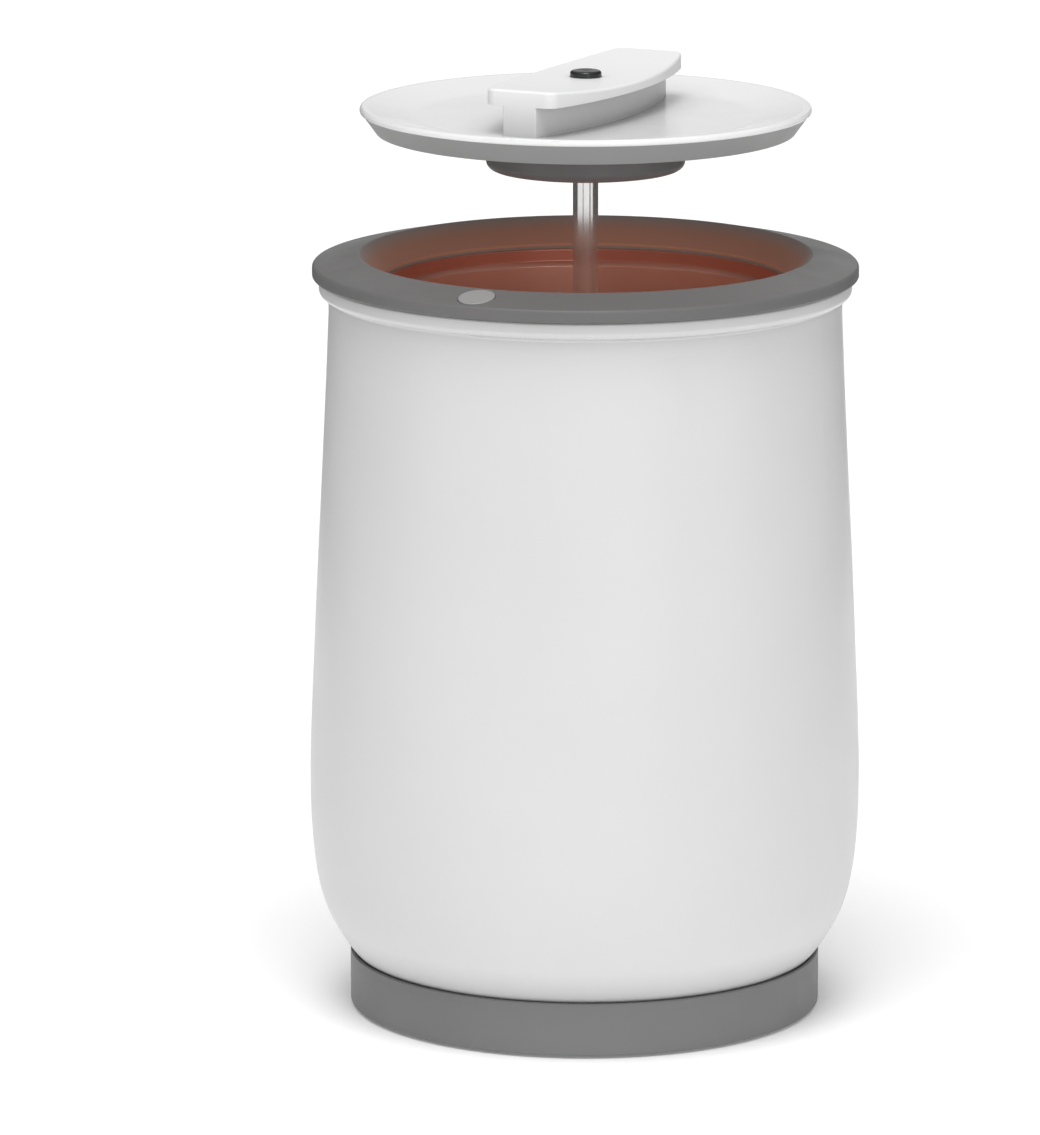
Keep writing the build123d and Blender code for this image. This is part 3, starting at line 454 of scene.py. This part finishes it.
METALS = {
    "rod_chrome": dict(
        colour=(0.79, 0.78, 0.785), rough=0.15, along=30.0, scratch=0.03, scale=500.0, share=0.92
    ),
    "tube_steel": dict(colour=(0.60, 0.58, 0.57), rough=0.28, along=25.0, scratch=0.12),
    "screw_steel": dict(colour=(0.56, 0.56, 0.55), rough=0.30, along=8.0, scratch=0.15),
    "brass": dict(colour=(0.72, 0.52, 0.24), rough=0.28, along=12.0, scratch=0.12),
}

MATERIALS = {"drum_metal": drum_metal("drum_metal"), "felt": felt("felt", (0.62, 0.60, 0.56))}
for name, look in {**WHITES, **PLASTICS}.items():
    MATERIALS[name] = plastic(name, **look)
for name, look in METALS.items():
    MATERIALS[name] = metal(name, **look)

for cad in nodes.values():
    for index, slot in enumerate(cad.data.materials):
        cad.material_slots[index].material = MATERIALS[slot.name.split(".")[0]]

# ------------------------------------------------------------------ built pieces


def placed(name, vertices, faces, material):
    """An object from vertices and faces, with one material."""
    mesh = bpy.data.meshes.new(name)
    mesh.from_pydata(vertices, [], faces)
    mesh.materials.append(material)
    made = bpy.data.objects.new(name, mesh)
    scene.collection.objects.link(made)
    return made


def pad_height(share, turn, across):
    """Height of the felt's top over its edges: a crown, sewn channels and stitched borders."""
    swell = math.sin(math.pi * share)
    lobe = abs(math.cos(turn * PAD_CHANNELS / 2))
    channel = PAD_CHANNEL_DEPTH * math.exp(-((lobe / PAD_CHANNEL_WIDTH) ** 2))
    from_edge = min(share, 1.0 - share) * across
    off_seam = (from_edge - PAD_STITCH_INSET) / PAD_STITCH_WIDTH
    stitch = PAD_STITCH_DEPTH * math.exp(-(off_seam**2))
    return (PAD_CROWN - channel) * swell - stitch


def pad_outline(hole, outer, bottom, top):
    """The ring's section as (radius, height, share across the top, or None off the top)."""
    first = hole + PAD_EDGE_R
    width = outer - hole - 2 * PAD_EDGE_R
    low = bottom + PAD_EDGE_R
    cut = PAD_EDGE_R * PAD_CUT
    turns = [math.pi / 2 * step / PAD_ROUND_STEPS for step in range(1, PAD_ROUND_STEPS)]
    outline = []
    for step in range(PAD_TOP_STEPS + 1):
        share = step / PAD_TOP_STEPS
        outline.append((first + width * share, top, share))
    for turn in turns:
        radius = outer - PAD_EDGE_R * (1 - math.sin(turn))
        outline.append((radius, top - PAD_EDGE_R * (1 - math.cos(turn)), None))
    outline += [(outer, low, None), (outer - cut, bottom + cut, None)]
    for step in range(PAD_BOTTOM_STEPS + 1):
        share = 1 - step / PAD_BOTTOM_STEPS
        outline.append((first + width * share, bottom, None))
    outline += [(hole + cut, bottom + cut, None), (hole, low, None)]
    for turn in turns:
        radius = hole + PAD_EDGE_R * (1 - math.cos(turn))
        outline.append((radius, top - PAD_EDGE_R * (1 - math.sin(turn)), None))
    return outline


def make_pad():
    """Sewn felt ring in the tray, in the space of its plain solid."""
    low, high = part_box("aroma_pad")
    hole = PAD_HOLE_R + PAD_INSET
    outer = (high.x - low.x) / 2 - PAD_INSET
    outline = pad_outline(hole, outer, low.z + PAD_INSET, high.z - PAD_INSET - PAD_CROWN)
    vertices = []
    faces = []
    count = len(outline)
    for column in range(PAD_TURNS):
        turn = 2 * math.pi * column / PAD_TURNS
        for radius, height, share in outline:
            rise = 0.0 if share is None else pad_height(share, turn, outer - hole)
            vertices.append((radius * math.cos(turn), radius * math.sin(turn), height + rise))
        here = column * count
        after = (column + 1) % PAD_TURNS * count
        for row in range(count):
            below = (row + 1) % count
            faces.append((here + row, here + below, after + below, after + row))
    pad = placed("scent_pad", vertices, faces, MATERIALS["felt"])
    pad.data.polygons.foreach_set("use_smooth", [True] * len(faces))
    pad.modifiers.new("round", "SUBSURF").render_levels = 1
    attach(pad, "aroma_tray")
    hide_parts("aroma_pad")


def make_spring():
    """Wire spring with closed ends under the button."""
    low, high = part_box("release_spring")
    middle_r = (high.x - low.x) / 2 - SPRING_WIRE_R
    bottom = low.z + SPRING_WIRE_R
    rise = high.z - low.z - 2 * SPRING_WIRE_R
    count = SPRING_TURNS * SPRING_STEPS
    vertices = []
    faces = []
    for step in range(count + 1):
        share = step / count
        turn = 2 * math.pi * SPRING_TURNS * share
        height = bottom + rise * share * share * (3 - 2 * share)
        for side in range(SPRING_SIDES):
            angle = 2 * math.pi * side / SPRING_SIDES
            radius = middle_r + SPRING_WIRE_R * math.cos(angle)
            level = height + SPRING_WIRE_R * math.sin(angle)
            vertices.append((radius * math.cos(turn), radius * math.sin(turn), level))
    for step in range(count):
        start = step * SPRING_SIDES
        after = start + SPRING_SIDES
        for side in range(SPRING_SIDES):
            beside = (side + 1) % SPRING_SIDES
            faces.append((start + side, after + side, after + beside, start + beside))
    last = count * SPRING_SIDES
    faces.append(tuple(range(SPRING_SIDES)))
    faces.append(tuple(reversed(range(last, last + SPRING_SIDES))))
    spring = placed("coil_spring", vertices, faces, MATERIALS["screw_steel"])
    spring.data.polygons.foreach_set("use_smooth", [True] * (len(faces) - 2) + [False] * 2)
    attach(spring, "lid")
    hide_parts("release_spring")
    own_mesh(spring)


# ------------------------------------------------------------------ floor, light and camera


def cloth(name, tones, scale, detail, rough):
    """Plain neutral surface with a slight change of tone. Returns it with its shader."""
    made, tree, shader = new_material(name)
    cloud = noise(tree, object_coordinates(tree), scale, detail)
    tone = noise_tones(tree, cloud, grey(tones[0]), grey(tones[1]))
    tree.links.new(tone, shader.inputs["Base Color"])
    shader.inputs["Roughness"].default_value = rough
    return made, shader


def heading(azimuth):
    """Level direction away from the object. Azimuth counts from the camera's side, to its right."""
    turn = CAMERA_AZIMUTH + azimuth
    return Vector((math.sin(turn), -math.cos(turn), 0.0))


def make_floor():
    """Plain pale floor under the feet."""
    made, shader = cloth("floor_white", FLOOR_TONES, FLOOR_CLOUD_SCALE, 3.0, FLOOR_ROUGHNESS)
    shader.inputs["Emission Color"].default_value = (1.0, 1.0, 1.0, 1.0)
    shader.inputs["Emission Strength"].default_value = FLOOR_LIFT
    half = FLOOR_SIZE / 2
    corners = [(-half, -half, 0.0), (half, -half, 0.0), (half, half, 0.0), (-half, half, 0.0)]
    floor = placed("floor", corners, [(0, 1, 2, 3)], made)


def make_sun(name, azimuth, elevation, strength, spread):
    """Soft sun."""
    data = bpy.data.lights.new(name, "SUN")
    data.energy = strength
    data.angle = math.radians(spread)
    light = bpy.data.objects.new(name, data)
    rise = math.radians(elevation)
    away = heading(math.radians(azimuth)) * math.cos(rise) + Vector((0.0, 0.0, math.sin(rise)))
    light.location = away * SUN_DISTANCE
    light.rotation_mode = "QUATERNION"
    light.rotation_quaternion = away.to_track_quat("Z", "Y")
    scene.collection.objects.link(light)


def make_camera():
    """Long lens, a little above the lid, with the object right of the picture's middle."""
    data = bpy.data.cameras.new("camera")
    data.lens = CAMERA_LENS
    data.clip_end = CAMERA_REACH
    camera = bpy.data.objects.new("camera", data)
    camera.location = heading(0.0) * CAMERA_DISTANCE + Vector((0.0, 0.0, CAMERA_HEIGHT))
    camera.rotation_euler = (math.pi / 2 - CAMERA_PITCH, 0.0, CAMERA_AZIMUTH + CAMERA_PAN)
    scene.collection.objects.link(camera)
    scene.camera = camera


def make_world():
    """Studio surroundings: bright in front, above and right behind, darker at the sides."""
    world = bpy.data.worlds.new("studio")
    world.use_nodes = True
    tree = world.node_tree
    background = tree.nodes["Background"]
    direction = tree.nodes.new("ShaderNodeTexCoord")
    facing = tree.nodes.new("ShaderNodeVectorMath")
    facing.operation = "DOT_PRODUCT"
    tree.links.new(direction.outputs["Generated"], facing.inputs[0])
    facing.inputs[1].default_value = heading(WORLD_TURN)
    split = tree.nodes.new("ShaderNodeSeparateXYZ")
    tree.links.new(direction.outputs["Generated"], split.inputs["Vector"])
    turned_to = between(tree, facing.outputs["Value"], 0.0, 1.0, -1.0, 1.0)
    front = ramp(tree, turned_to, [(position, grey(value)) for position, value in WORLD_FRONT])
    top = ramp(tree, split.outputs["Z"], [(position, grey(value)) for position, value in WORLD_TOP])
    tree.links.new(mixed(tree, "ADD", front, top), background.inputs["Color"])
    scene.world = world


def make_glow():
    """Soft warm lights round the rod in the drum's mouth, as the heat is pictured."""
    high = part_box("inner_drum")[1]
    for index in range(GLOW_LIGHTS):
        data = bpy.data.lights.new(f"glow_{index}", "POINT")
        data.energy = GLOW_ENERGY / GLOW_LIGHTS
        data.color = GLOW_COLOUR
        data.shadow_soft_size = GLOW_SIZE
        light = bpy.data.objects.new(f"glow_{index}", data)
        turn = 2 * math.pi * index / GLOW_LIGHTS + CAMERA_AZIMUTH
        light.location = (GLOW_R * math.cos(turn), GLOW_R * math.sin(turn), high.z - GLOW_DEPTH)
        light.visible_camera = False
        light.visible_glossy = False
        scene.collection.objects.link(light)


def make_flag(name, azimuth, width, distance):
    """Dark card that shows only in reflections."""
    away = heading(math.radians(azimuth))
    foot = away * distance
    rise = Vector((0.0, 0.0, FLAG_HEIGHT))
    side = Vector((-away.y, away.x, 0.0)) * (width / 2)
    corners = [foot - side, foot + side, foot + side + rise, foot - side + rise]
    made = cloth(name, FLAG_TONES, FLAG_CLOTH_SCALE, 2.0, FLAG_ROUGHNESS)[0]
    flag = placed(name, corners, [(0, 1, 2, 3)], made)
    flag.visible_camera = False
    flag.visible_diffuse = False
    flag.visible_shadow = False


make_pad()
make_spring()
make_floor()
make_world()
for sun in SUNS:
    make_sun(*sun)
make_glow()
for index, flag in enumerate(FLAGS):
    make_flag(f"flag_{index}", *flag)
make_camera()
scene.view_settings.view_transform = "Standard"
